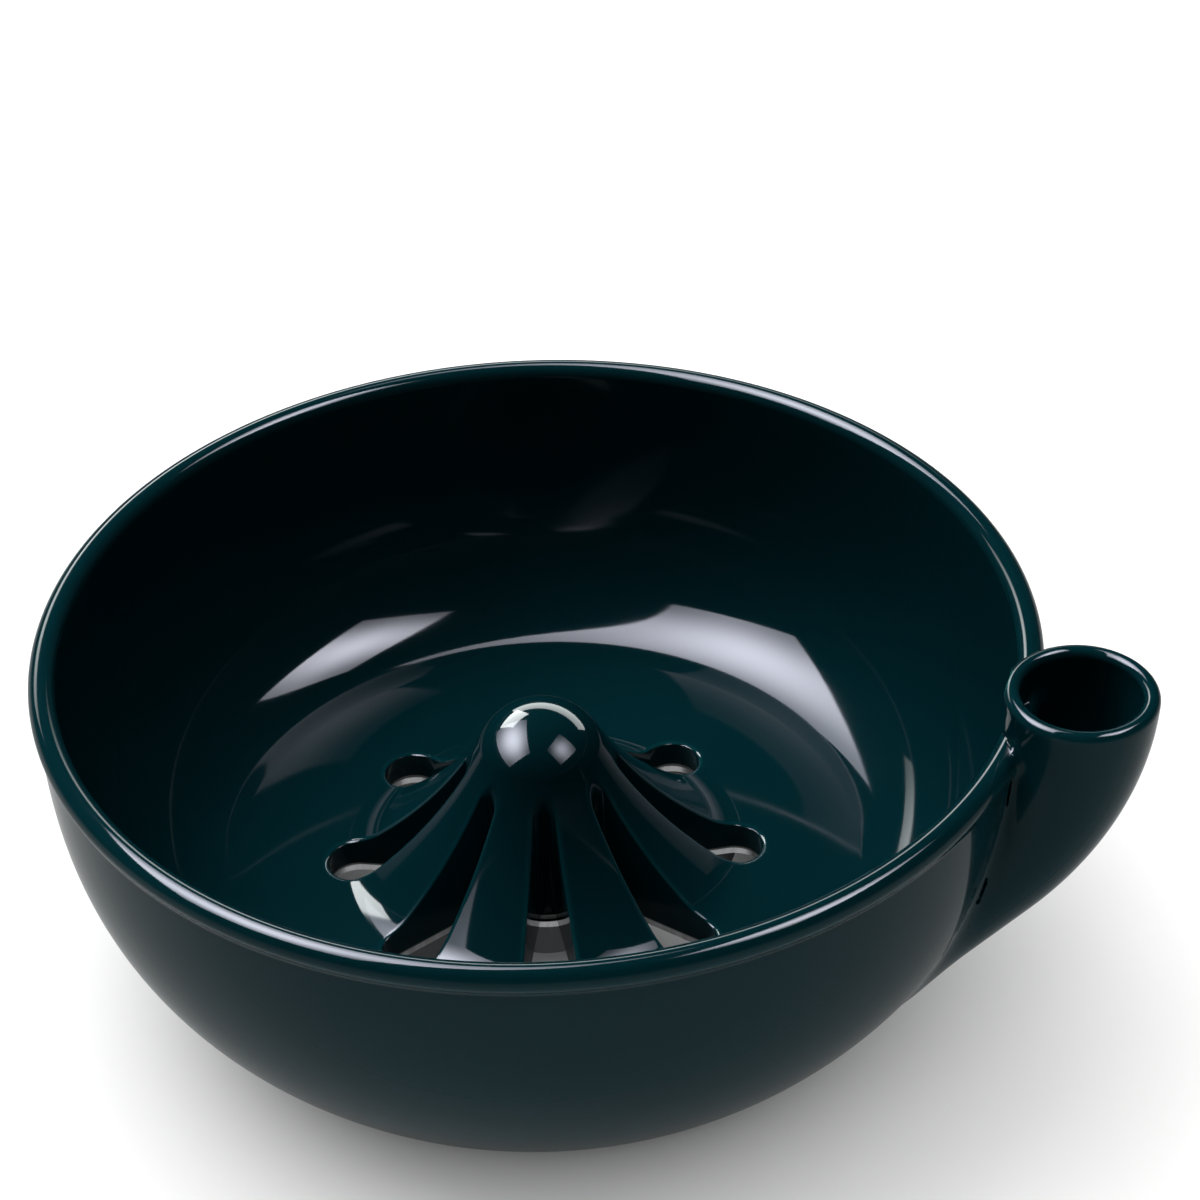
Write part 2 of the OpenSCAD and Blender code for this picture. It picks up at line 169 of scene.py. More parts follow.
# %% Rule for the filling tube
MOUTH_AT, MOUTH_Z = 108.6 * MM, 88 * MM
TUBE_R, BORE_R, TUBE_DRAW = 14.7 * MM, 11.5 * MM, 3.1 * MM
STRAIGHT, BEND_R, BEND_TURN, RUN_L = 2.1 * MM, 48 * MM, math.radians(48.6), 28 * MM
INLET = math.radians(208.8)
ALONG = np.array([math.cos(INLET), math.sin(INLET)])
ASIDE = np.array([-math.sin(INLET), math.cos(INLET)])
BEND_Z = MOUTH_Z - STRAIGHT
LINE_L = BEND_R * BEND_TURN + RUN_L


def tube_line(points):
    """Distance of each point from the tube's line, and how far along it the nearest place is."""
    u = (points[:, 0] - MOUTH_AT) * ALONG[0] + points[:, 1] * ALONG[1]
    v = (points[:, 0] - MOUTH_AT) * ASIDE[0] + points[:, 1] * ASIDE[1]
    w = points[:, 2] - BEND_Z
    turn = np.arctan2(-w, BEND_R - u)
    on_arc = np.hypot(np.hypot(u - BEND_R, w) - BEND_R, v)
    du = u - BEND_R * (1 - math.cos(BEND_TURN))
    dw = w + BEND_R * math.sin(BEND_TURN)
    t = du * math.sin(BEND_TURN) - dw * math.cos(BEND_TURN)
    across = du * math.cos(BEND_TURN) + dw * math.sin(BEND_TURN)
    past = np.maximum(t - RUN_L, 0)
    on_run = np.hypot(np.hypot(across, v), past)
    top = w >= 0
    run = (~top) & (turn > BEND_TURN)
    far = np.where(top, np.hypot(u, v), np.where(run, on_run, on_arc))
    way = np.where(top, -w, np.where(run, BEND_R * BEND_TURN + t, BEND_R * turn))
    return far, way


def tube_shell(points):
    """The hollow horn with its rounded mouth."""
    far, way = tube_line(points)
    drawn = TUBE_DRAW * np.clip(way / LINE_L, 0, 1)
    mid, half = (TUBE_R + BORE_R) / 2 - drawn, (TUBE_R - BORE_R) / 2
    side = np.abs(far - mid) - half
    ring_z = MOUTH_Z - half
    ring = np.hypot(far - mid, points[:, 2] - ring_z) - half
    return np.where(points[:, 2] > ring_z, ring, side)


print("length of the tube's line", round(LINE_L / MM, 1), "mm")

# %% Rule for the port through the wall
PORT_R, PORT_Z = 8 * MM, 51 * MM
PORT_AT, PORT_WAY = math.radians(-5.5), math.radians(214.5)
PORT_MID = np.array([math.cos(PORT_AT), math.sin(PORT_AT), 0]) * float(wall_radius(PORT_Z))
PORT_MID[2] = PORT_Z
PORT_DIR = np.array([math.cos(PORT_WAY), math.sin(PORT_WAY), 0])
PORT_L, PORT_OUT = 32 * MM, 0.4 * MM
PORT_CRISP, PORT_SOFT = 0.3 * MM, 2.0 * MM
TUBE_FILL, FILL_FADES, NO_FILL = 3.2 * MM, 1.5, 0.02 * MM


def port(points):
    """A round hole that ends just outside the bowl's wall, where the tube's bore takes over."""
    t = (points - PORT_MID) @ PORT_DIR
    off = np.linalg.norm(points - PORT_MID - np.outer(t, PORT_DIR), axis=1)
    outside = outer_wall(*from_axis(points)) - PORT_OUT
    return np.maximum(np.maximum(off - PORT_R, np.abs(t) - PORT_L / 2), outside)


def let_in_tube(points):
    """The horn, cut off where it would stand out of the bowl's inner wall."""
    rho, z = from_axis(points)
    inside = np.where(z > FLOOR_Z, inner_wall(rho, z), rho - FLOOR_R)
    return np.maximum(tube_shell(points), inside)


def glazed_skin(points, body=bowl_skin):
    """Bowl and tube as one, with the port's rim soft in the bowl and crisp at the wall's back."""
    depth = -outer_wall(*from_axis(points))
    fill = np.clip(TUBE_FILL - FILL_FADES * depth, NO_FILL, TUBE_FILL)
    joined = soft_join(body(points), let_in_tube(points), fill)
    return soft_cut(joined, -port(points), np.clip(depth, PORT_CRISP, PORT_SOFT))


def bowl_and_tube(points):
    """The luted piece that the bowl's mesh is settled onto."""
    return glazed_skin(points, bowl_body)


print("port of radius", round(PORT_R / MM, 1), "mm at height", round(PORT_Z / MM, 1), "mm")

# %% [markdown]
# ## Slotted cone
# The cone is a bell shape with a domed tip. Eight tapered slots run from its flank out into the
# floor and leave the petals between them. In plan a slot is two circles of different size and
# their tangents, and all eight are one rule, because a point is first turned into one sector.
# A solid core stops the slots near the axis, and swells near the top so that the grooves fade.
# The flank lies up to 3 mm outside the CAD's, where the photograph shows the petals' edges.

# %% Rule for the slotted cone
CONE_H, DOME_R, SWEEP_R, FILLET_R = 38 * MM, 14 * MM, 78 * MM, 12 * MM
FLANK = math.radians(64)
DOME_Z = FLOOR_Z + CONE_H - DOME_R
SWEEP_AT = (DOME_R + SWEEP_R) * math.sin(FLANK)
SWEEP_Z = DOME_Z + (DOME_R + SWEEP_R) * math.cos(FLANK)
TOE = math.acos((SWEEP_Z - FLOOR_Z - FILLET_R) / (SWEEP_R - FILLET_R))
FLARE_AT = SWEEP_AT - (SWEEP_R - FILLET_R) * math.sin(TOE)
CORE_R, CORE_GROWS, CORE_FROM, CORE_OVER = 13 * MM, 1.9 * MM, 6 * MM, 24 * MM
SLOTS, SLOT_PHASE = 8, math.radians(20)
PITCH = 2 * math.pi / SLOTS
ROOT_AT, ROOT_R, REACH_AT, REACH_R = 11 * MM, 1.1 * MM, 39.6 * MM, 5.6 * MM
POCKET_Z, POCKET_R, INSERT_R = 15.5 * MM, 48.55 * MM, 3.65 * MM
GROOVE_SOFT, PETAL_SOFT = 3.0 * MM, 1.15 * MM


def bell(rho, z):
    """The cone without its slots: dome, hollow flank, fillet and floor, arc against arc."""
    dome = np.hypot(rho, z - DOME_Z) - DOME_R
    sweep = SWEEP_R - np.hypot(rho - SWEEP_AT, z - SWEEP_Z)
    wr, wz = rho - FLARE_AT, z - FLOOR_Z - FILLET_R
    fillet = FILLET_R - np.hypot(wr, wz)
    on_dome = (z - DOME_Z) * math.sin(FLANK) - rho * math.cos(FLANK) >= 0
    on_fillet = (wr * math.cos(TOE) - wz * math.sin(TOE) > 0) & (wz < 0)
    low = np.where(wr >= 0, z - FLOOR_Z, np.where(on_fillet, fillet, sweep))
    return np.where(on_dome, dome, low)


def core_radius(z):
    """The core under the slots: it swells near the top, so that the grooves fade in softly."""
    share = np.clip((z - FLOOR_Z - CORE_FROM) / CORE_OVER, 0, 1)
    return CORE_R + CORE_GROWS * share * share * (3 - 2 * share)


def slot_hollow(points):
    """The eight slots as one rule, in the sector of the first."""
    rho = np.hypot(points[:, 0], points[:, 1])
    turn = np.arctan2(points[:, 1], points[:, 0]) - SLOT_PHASE
    turn = (turn + PITCH / 2) % PITCH - PITCH / 2
    x, y = rho * np.cos(turn) - ROOT_AT, np.abs(rho * np.sin(turn))
    length = REACH_AT - ROOT_AT
    lean = (ROOT_R - REACH_R) / length
    level = math.sqrt(1 - lean * lean)
    k = -lean * y + level * x
    side = y * level + x * lean - ROOT_R
    near, far = np.hypot(x, y) - ROOT_R, np.hypot(x - length, y) - REACH_R
    plan = np.where(k < 0, near, np.where(k > level * length, far, side))
    return soft_cut(plan, core_radius(points[:, 2]) - rho, GROOVE_SOFT)


def cone_skin(points):
    """The bell with its slots cut, and the petals' edges softened by the glaze."""
    return soft_cut(bell(*from_axis(points)), -slot_hollow(points), PETAL_SOFT)


def cone_body(points):
    """The cone with its disc of floor, and the pocket for the seal below."""
    rho, z = from_axis(points)
    under = np.where(rho < POCKET_R, POCKET_Z, UNDER_Z) - z
    return np.maximum(np.maximum(cone_skin(points), under), rho - SEAM_R)


print("the flank meets the floor", round(FLARE_AT / MM, 1), "mm from the axis")

# %% [markdown]
# ## From rules to meshes
# Each piece starts as a spun profile or a swept ring, and modifiers join or cut it. Then the
# faces near a cut edge are divided finely and every point is settled onto the rule.

# %% Helpers: make a piece, spin a profile, draw a bar
SAME_PLACE, ON_AXIS = 1e-7, 1e-9


def piece_from(bm, name):
    """Turns a finished bmesh into an object of the scene."""
    mesh = bpy.data.meshes.new(name)
    bm.to_mesh(mesh)
    bm.free()
    obj = bpy.data.objects.new(name, mesh)
    bpy.context.scene.collection.objects.link(obj)
    return obj


def spun(name, profile, steps):
    """A closed solid from a closed (radius, height) outline turned round the bowl's axis."""
    bm = bmesh.new()
    row = [bm.verts.new((r, 0, z)) for r, z in profile]
    edges = [bm.edges.new((row[i], row[(i + 1) % len(row)])) for i in range(len(row))]
    on_axis = [e for e in edges if all(v.co.x < ON_AXIS for v in e.verts)]
    for e in on_axis:
        bm.edges.remove(e)
        edges.remove(e)
    bmesh.ops.spin(bm, geom=row + edges, cent=(0, 0, 0), axis=(0, 0, 1), dvec=(0, 0, 0),
                   angle=2 * math.pi, steps=steps, use_merge=True, use_duplicate=False)
    bmesh.ops.remove_doubles(bm, verts=bm.verts, dist=SAME_PLACE)
    bmesh.ops.recalc_face_normals(bm, faces=bm.faces)
    return piece_from(bm, name)


def round_bar(name, radius, low, high, centre=(0, 0), direction=None):
    """A plain round cutter: upright between two heights, or along a direction from a point."""
    bm = bmesh.new()
    bmesh.ops.create_cone(bm, cap_ends=True, segments=72, radius1=radius, radius2=radius,
                          depth=high - low)
    if direction is None:
        place = Matrix.Translation((centre[0], centre[1], (low + high) / 2))
    else:
        turn = Vector(direction).to_track_quat("Z", "Y")
        place = Matrix.Translation(centre) @ turn.to_matrix().to_4x4()
    bmesh.ops.transform(bm, matrix=place, verts=bm.verts)
    return piece_from(bm, name)


def arc_points(cx, cz, r, start, end, steps):
    """Points on an arc of an outline, both ends included."""
    turns = [start + (end - start) * i / steps for i in range(steps + 1)]
    return [(cx + r * math.cos(turn), cz + r * math.sin(turn)) for turn in turns]


def line_points(a, b, steps):
    """Points on a straight stretch of an outline, without its last end."""
    return [(a[0] + (b[0] - a[0]) * i / steps, a[1] + (b[1] - a[1]) * i / steps)
            for i in range(steps)]


# %% Helpers: join or cut, and take the points out


def combine(obj, other, how):
    """Applies one join or cut of closed solids, and deletes the other object."""
    mod = obj.modifiers.new("combine", "BOOLEAN")
    mod.operation, mod.solver, mod.object = how, "MANIFOLD", other
    graph = bpy.context.evaluated_depsgraph_get()
    mesh = bpy.data.meshes.new_from_object(obj.evaluated_get(graph))
    obj.modifiers.clear()
    old = obj.data
    obj.data = mesh
    bpy.data.meshes.remove(old)
    bpy.data.objects.remove(other)
    return obj


def points_of(mesh):
    """The mesh's points as rows of x, y and z."""
    co = np.empty(len(mesh.vertices) * 3)
    mesh.vertices.foreach_get("co", co)
    return co.reshape(-1, 3)


# %% Helper: divide finely near the edges
SLIVER = 2e-6


def refine(obj, nearness, zone, fine, rounds=4):
    """Splits the long edges of faces that lie within a zone of an edge to be rounded."""
    bm = bmesh.new()
    bm.from_mesh(obj.data)
    for _ in range(rounds):
        co = np.array([v.co for v in bm.verts])
        near = nearness(co) < zone
        faces = [f for f in bm.faces if any(near[v.index] for v in f.verts)]
        bmesh.ops.triangulate(bm, faces=[f for f in faces if len(f.verts) > 3])
        bm.verts.index_update()
        long = [e for e in bm.edges
                if e.calc_length() > fine and near[e.verts[0].index] and near[e.verts[1].index]]
        if not long:
            break
        bmesh.ops.subdivide_edges(bm, edges=long, cuts=1, use_grid_fill=False)
        bm.verts.index_update()
    bmesh.ops.remove_doubles(bm, verts=bm.verts, dist=SLIVER)
    bmesh.ops.triangulate(bm, faces=[f for f in bm.faces if len(f.verts) > 4])
    bm.to_mesh(obj.data)
    bm.free()


# %% Helper: settle the points onto the rule
# Where a rule is nearly level its slope is taken as at least this, so that no step runs away.
FLATTEST, STRIDE = 0.2, 0.9


def settle(obj, rule, reach):
    """Moves the points that are near the rule's surface onto it."""
    co = points_of(obj.data)
    start = co.copy()
    for _ in range(8):
        d = rule(co)
        g = slope_of(rule, co)
        size = np.maximum((g * g).sum(1), FLATTEST)
        step = np.where(np.abs(d) < reach, d / size, 0)
        co -= g * step[:, None] * STRIDE
    gone = np.linalg.norm(co - start, axis=1)
    co[gone > reach] = start[gone > reach]
    obj.data.vertices.foreach_set("co", co.ravel())
    obj.data.update()
    print(obj.name, "settled, furthest move", round(float(gone.max()) * 1000, 3), "mm")


# %% Helper: shade by the rule, and store where the glaze runs thin
# How near the rule a point must be, how well rule and face must agree, in square metres the
# faces too small to judge by, and the bend at which the glaze is at its thinnest.
ON_RULE, AGREES, TINY_FACE, SHARPEST = 0.05 * MM, 0.82, 2e-10, 1500


def dress(obj, rule, even_below=0.0):
    """Shades each corner by the rule where it agrees with the face, and stores the bend."""
    mesh = obj.data
    co = points_of(mesh)
    g = slope_of(rule, co)
    g /= np.maximum(np.linalg.norm(g, axis=1), 1e-9)[:, None]
    near = np.abs(rule(co)) < ON_RULE
    loop_vert = np.empty(len(mesh.loops), int)
    mesh.loops.foreach_get("vertex_index", loop_vert)
    face_n = np.empty(len(mesh.polygons) * 3)
    mesh.polygons.foreach_get("normal", face_n)
    area = np.array([p.area for p in mesh.polygons])
    totals = np.array([p.loop_total for p in mesh.polygons])
    loop_face = np.repeat(np.arange(len(totals)), totals)
    smooth = g[loop_vert]
    flat = face_n.reshape(-1, 3)[loop_face]
    fits = (smooth * flat).sum(1) > AGREES
    fits |= area[loop_face] < TINY_FACE
    fits &= near[loop_vert]
    normals = np.where(fits[:, None], smooth, flat)
    mesh.polygons.foreach_set("use_smooth", np.ones(len(totals), bool))
    mesh.normals_split_custom_set(normals.tolist())
    thin = np.clip(bend_of(rule, co) / SHARPEST, -1, 1)
    thin[~near | (co[:, 2] < even_below)] = 0
    attribute = mesh.attributes.new("glaze_thin", "FLOAT", "POINT")
    attribute.data.foreach_set("value", thin.astype(np.float32))
    print(obj.name, "faces", len(totals), "shaded by the rule", round(float(fits.mean()), 3))


# %% [markdown]
# ## Making the slotted cone
# The bell is spun. The slots are cut with one tapered finger that is copied round, after the
# core has been cut out of the fingers. Then the seats of the brass inserts are drilled from below.

# %% Spin the bell
INSERT_TOP = POCKET_Z + 10.05 * MM
DOWN = 1.5 * math.pi
flare = arc_points(FLARE_AT, FLOOR_Z + FILLET_R, FILLET_R, DOWN, DOWN - TOE, 14)
sweep = arc_points(SWEEP_AT, SWEEP_Z, SWEEP_R, DOWN - TOE, DOWN - FLANK, 40)
dome = arc_points(0, DOME_Z, DOME_R, math.pi / 2 - FLANK, math.pi / 2, 22)
bell_profile = (line_points((INSERT_R, POCKET_Z), (POCKET_R, POCKET_Z), 12)
                + [(POCKET_R, POCKET_Z), (POCKET_R, UNDER_Z), (SEAM_R, UNDER_Z)]
                + line_points((SEAM_R, FLOOR_Z), (FLARE_AT, FLOOR_Z), 10)
                + flare[:-1] + sweep[:-1] + dome[:-1]
                + [(0, FLOOR_Z + CONE_H), (0, INSERT_TOP), (INSERT_R, INSERT_TOP)])
cone = spun("slotted_cone", bell_profile, 192)
print("bell profile points:", len(bell_profile))

# %% Cut the slots and the seats of the stops
BELOW = UNDER_Z - 2 * MM
STOP_AT, STOP_R, STOP_TOP = 51.8 * MM, 2.55 * MM, UNDER_Z + 4.55 * MM


def slot_cutter():
    """Eight fingers: each a flat outline of two arcs and their tangents, drawn up."""
    lean = math.asin((REACH_R - ROOT_R) / (REACH_AT - ROOT_AT))
    bm = bmesh.new()
    outline = arc_points(REACH_AT, 0, REACH_R, -math.pi / 2 - lean, math.pi / 2 + lean, 40)
    start = (ROOT_AT, ROOT_R / math.cos(lean))
    outline += line_points(outline[-1], start, 24)[1:] + [start, (start[0], -start[1])]
    outline += line_points((start[0], -start[1]), outline[0], 24)[1:]
    face = bm.faces.new([bm.verts.new((x, y, BELOW)) for x, y in outline])
    drawn = bmesh.ops.extrude_face_region(bm, geom=[face])
    top = [v for v in drawn["geom"] if isinstance(v, bmesh.types.BMVert)]
    bmesh.ops.translate(bm, vec=(0, 0, CONE_H), verts=top)
    finger = list(bm.verts) + list(bm.edges) + list(bm.faces)
    for i in range(1, SLOTS):
        copy = bmesh.ops.duplicate(bm, geom=finger)
        verts = [v for v in copy["geom"] if isinstance(v, bmesh.types.BMVert)]
        around = Matrix.Rotation(PITCH * i, 3, "Z")
        bmesh.ops.rotate(bm, cent=(0, 0, 0), matrix=around, verts=verts)
    around = Matrix.Rotation(SLOT_PHASE, 3, "Z")
    bmesh.ops.rotate(bm, cent=(0, 0, 0), matrix=around, verts=bm.verts)
    bmesh.ops.recalc_face_normals(bm, faces=bm.faces)
    return piece_from(bm, "slot_cutter")


core_z = [FLOOR_Z + i * MM for i in range(-10, 36)]
core_side = [(float(core_radius(z)), z) for z in core_z]
core = spun("core", [(0, core_z[0])] + core_side + [(0, core_z[-1])], 192)
combine(cone, combine(slot_cutter(), core, "DIFFERENCE"), "DIFFERENCE")
for side in (0, math.pi):
    turn = SLOT_PHASE + PITCH / 2 + side
    at = (STOP_AT * math.cos(turn), STOP_AT * math.sin(turn))
    combine(cone, round_bar("stop_seat", STOP_R, BELOW, STOP_TOP, at), "DIFFERENCE")
print("slots cut:", SLOTS, "faces:", len(cone.data.polygons))

# %% Round the petals' edges
DEEP_Z = FLOOR_Z - 2.6 * MM


def cone_edges(points):
    """Distance from the edge between the bell and a slot, left out deep in the slots."""
    rho, z = from_axis(points)
    low = np.where(z < DEEP_Z, 1.0, 0)
    return np.maximum(np.abs(bell(rho, z)), np.abs(slot_hollow(points))) + low


refine(cone, cone_edges, 2.8 * MM, 0.55 * MM)
settle(cone, cone_body, 1.4 * MM)
dress(cone, cone_skin)

# %% [markdown]
# ## Making the bowl with its tube
# The bowl's profile is read off its own rule, so that lip and wall run into each other without
# a step. The tube is a row of circles along its line, joined into a hollow solid.

# %% Spin the bowl
ROUND = 256


def on_rule(points, rule):
    """Moves (radius, height) points onto a rule's surface."""
    co = np.array([(r, 0, z) for r, z in points])
    for _ in range(12):
        g = slope_of(rule, co)
        co -= g * (rule(co) / np.maximum((g * g).sum(1), FLATTEST))[:, None]
    return [(float(p[0]), float(p[2])) for p in co]


def wall_line(heights, out=0.0):
    """The outer wall as (radius, height) points, at given heights."""
    return [(float(wall_radius(z)) + out, z) for z in heights]


LIP_OUT = 14  # this many of the lip's points lie outside, where the wall's skin meets it
wall_end = LIP_Z - 3.4 * MM
wall_part = wall_line([UNDER_Z + (wall_end - UNDER_Z) * i / 48 for i in range(49)])
under_lip = [(99.0 * MM + 0.2 * MM * i / 8, 74.1 * MM + 1.6 * MM * i / 8) for i in range(1, 9)]
lip_part = arc_points(LIP_MID, LIP_Z, LIP_R, -0.42, math.pi, 30)
turned = [i * math.pi / 2 / 72 for i in range(71, -1, -1)]
cove_part = [(FLOOR_R + (LIP_IN - FLOOR_R) * math.sin(t),
              FLOOR_Z + COVE_H * (1 - math.cos(t) ** (2 / COVE_POWER))) for t in turned]
outside = on_rule(wall_part[1:] + under_lip + lip_part[:LIP_OUT], bowl_body)
floor_part = line_points((FLOOR_R, FLOOR_Z), (SEAM_R, FLOOR_Z), 4)[1:] + [(SEAM_R, FLOOR_Z)]
bowl_profile = ([(SEAM_R, UNDER_Z), wall_part[0]] + outside + lip_part[LIP_OUT:] + cove_part
                + floor_part)
bowl = spun("glazed_bowl", bowl_profile, ROUND)
print("bowl profile points:", len(bowl_profile))

# %% Make the tube


def tube_frame(way):
    """Place and direction of the tube's line at a distance below the mouth's bend."""
    if way <= 0:
        u, w, tilt = 0.0, -way, 0.0
    elif way < BEND_R * BEND_TURN:
        tilt = way / BEND_R
        u, w = BEND_R * (1 - math.cos(tilt)), -BEND_R * math.sin(tilt)
    else:
        tilt = BEND_TURN
        t = way - BEND_R * BEND_TURN
        u = BEND_R * (1 - math.cos(tilt)) + t * math.sin(tilt)
        w = -BEND_R * math.sin(tilt) - t * math.cos(tilt)
    place = Vector((MOUTH_AT + u * ALONG[0], u * ALONG[1], BEND_Z + w))
    lean = Matrix.Rotation(-tilt, 4, Vector((ASIDE[0], ASIDE[1], 0)))
    return Matrix.Translation(place) @ lean


def tube_solid(name, sides=120):
    """The horn as a row of circles: up the outside, over the mouth's rim, and down the bore."""
    half = (TUBE_R - BORE_R) / 2
    top = -(STRAIGHT - half)
    ways = [top * (1 - i / 4) for i in range(4)] + [LINE_L * i / 64 for i in range(65)]
    rings = [(w, TUBE_R - TUBE_DRAW * max(w, 0) / LINE_L) for w in reversed(ways)]
    rings += [(top - half * math.sin(a), (TUBE_R + BORE_R) / 2 + half * math.cos(a))
              for a in [math.pi * i / 20 for i in range(1, 20)]]
    rings += [(w, BORE_R - TUBE_DRAW * max(w, 0) / LINE_L) for w in ways]
    bm = bmesh.new()
    loops = []
    for way, radius in rings:
        made = bmesh.ops.create_circle(bm, cap_ends=False, radius=radius, segments=sides,
                                       matrix=tube_frame(way))
        loops.append(list({e for v in made["verts"] for e in v.link_edges}))
    for a, b in zip(loops, loops[1:] + loops[:1]):
        bmesh.ops.bridge_loops(bm, edges=a + b)
    bmesh.ops.recalc_face_normals(bm, faces=bm.faces)
    return piece_from(bm, name)


tube = tube_solid("tube")
print("tube faces:", len(tube.data.polygons))

# %% Let the tube into the wall, and cut the port
ABOVE, BLOCK_LOW, BLOCK_HIGH = 95 * MM, 20 * MM, 80 * MM
PORT_SPARE = 1.0 * MM
hollow = [(0, FLOOR_Z)] + cove_part[::-1] + [(LIP_IN, ABOVE), (0, ABOVE)]
combine(tube, spun("hollow", hollow, ROUND), "DIFFERENCE")
combine(bowl, tube, "UNION")
block_z = [BLOCK_LOW + (BLOCK_HIGH - BLOCK_LOW) * i / 60 for i in range(61)]
block = [(0, BLOCK_LOW)] + wall_line(block_z, PORT_OUT) + [(0, BLOCK_HIGH)]
cutter = round_bar("port_cutter", PORT_R - PORT_SPARE, 0, PORT_L, PORT_MID, PORT_DIR)
combine(bowl, combine(cutter, spun("port_block", block, ROUND), "INTERSECT"), "DIFFERENCE")
print("bowl and tube faces:", len(bowl.data.polygons))

# %% Round the corners round the tube and the port


def bowl_edges(points):
    """Distance from where the tube meets the bowl, and from the port's rim."""
    a, b = np.abs(bowl_body(points)), np.abs(let_in_tube(points))
    rim = np.maximum(np.abs(port(points)), np.minimum(a, b))
    return np.minimum(np.maximum(a, b), rim)


refine(bowl, bowl_edges, 3.6 * MM, 0.7 * MM)
settle(bowl, bowl_and_tube, 1.6 * MM)
dress(bowl, glazed_skin, even_below=30 * MM)

# %% [markdown]
# ## Making the foot
# The foot carries the outer wall down to the table. Its lower edges are rounded, and the ring
# that stands on the table is wiped clean of glaze before firing.

# %% Make the foot
FOOT_T, FOOT_SOFT = 6.5 * MM, 1.6 * MM


def foot_skin(points):
    """The foot's two sides follow the outer wall, and its lower edges are soft."""
    rho, z = from_axis(points)
    side = np.maximum(outer_wall(rho, z), -outer_wall(rho + FOOT_T, z))
    return soft_cut(side, -z, FOOT_SOFT)


def foot_body(points):
    """The foot, cut off level where it meets the floor's underside."""
    return np.maximum(foot_skin(points), points[:, 2] - UNDER_Z)


def foot_edges(points):
    """Distance from the edges that stand on the table."""
    return np.maximum(np.abs(points[:, 2]), np.abs(foot_body(points)))


foot_out = wall_line([UNDER_Z * (1 - i / 16) for i in range(17)])
foot_low = [(foot_out[-1][0] - j / 8 * FOOT_T, 0) for j in range(1, 8)]
foot_in = [(r - FOOT_T, z) for r, z in reversed(foot_out[:-1])]
foot = spun("foot", foot_out[:-1] + foot_low + foot_in, ROUND)
refine(foot, foot_edges, 2.2 * MM, 0.7 * MM, rounds=2)
settle(foot, foot_body, 1.0 * MM)
dress(foot, foot_skin)

# %% [markdown]
# ## Glaze
# The glaze is a deep blue-green glass over dark clay. It reads nearly black where it is thick,
# and a greener teal where it runs thin over an edge. The bend that was stored on each point
# steers that, and fine noise keeps the colour and the gloss from being perfectly even.

# %% Helpers for materials


def new_material(name):
    """A material with nodes, its node tree and its main shader."""
    mat = bpy.data.materials.new(name)
    mat.use_nodes = True
    tree = mat.node_tree
    shader = tree.nodes["Principled BSDF"]
    return mat, tree, shader


def node(tree, kind, **values):
    """Adds a node; each value goes to the input of that name, or to the node's own setting."""
    n = tree.nodes.new(kind)
    for key, value in values.items():
        if key in n.inputs:
            n.inputs[key].default_value = value
        else:
            setattr(n, key, value)
    return n


def noise(tree, scale, detail=3.0, rough=0.5, stretch=None):
    """Noise that is fixed to the object, so that it moves with it."""
    coord = node(tree, "ShaderNodeTexCoord")
    made = node(tree, "ShaderNodeTexNoise", Scale=scale, Detail=detail, Roughness=rough)
    if stretch is None:
        tree.links.new(coord.outputs["Object"], made.inputs["Vector"])
    else:
        mapping = node(tree, "ShaderNodeMapping", Scale=stretch)
        tree.links.new(coord.outputs["Object"], mapping.inputs["Vector"])
        tree.links.new(mapping.outputs["Vector"], made.inputs["Vector"])
    return made


def ramp(tree, source, stops):
    """Colours by value, given as (place, colour) stops."""
    made = node(tree, "ShaderNodeValToRGB")
    while len(made.color_ramp.elements) < len(stops):
        made.color_ramp.elements.new(0.5)
    for element, (position, colour) in zip(made.color_ramp.elements, stops):
        element.position, element.color = position, (*colour, 1)
    tree.links.new(source, made.inputs["Fac"])
    return made


def span(tree, source, low, high, to_low, to_high):
    """Carries a value from one range over to another."""
    made = node(tree, "ShaderNodeMapRange")
    ends = {"From Min": low, "From Max": high, "To Min": to_low, "To Max": to_high}
    for key, value in ends.items():
        made.inputs[key].default_value = value
    tree.links.new(source, made.inputs["Value"])
    return made.outputs["Result"]


# %% The glaze's colour
GRAIN_LOW, GRAIN_HIGH = 0.3, 0.7
glaze, tree, shader = new_material("teal_glaze")
edge = node(tree, "ShaderNodeAttribute", attribute_name="glaze_thin")
drift = noise(tree, 26.0, 4.0)
sway = span(tree, drift.outputs["Fac"], GRAIN_LOW, GRAIN_HIGH, -0.07, 0.07)
thin = node(tree, "ShaderNodeMath", operation="ADD")
tree.links.new(edge.outputs["Fac"], thin.inputs[0])
tree.links.new(sway, thin.inputs[1])
colour = ramp(tree, span(tree, thin.outputs[0], -1, 1, 0, 1),
              [(0.0, (0.0004, 0.009, 0.012)), (0.5, (0.0008, 0.017, 0.022)),
               (0.78, (0.0012, 0.026, 0.033)), (1.0, (0.012, 0.11, 0.105))])
print("glaze colours:", len(colour.color_ramp.elements))

# %% [markdown]
# The foot's standing ring is wiped before firing, so the lowest part of the foot shows bare clay:
# paler, grainy and matt. The height on the object decides where the glaze stops.

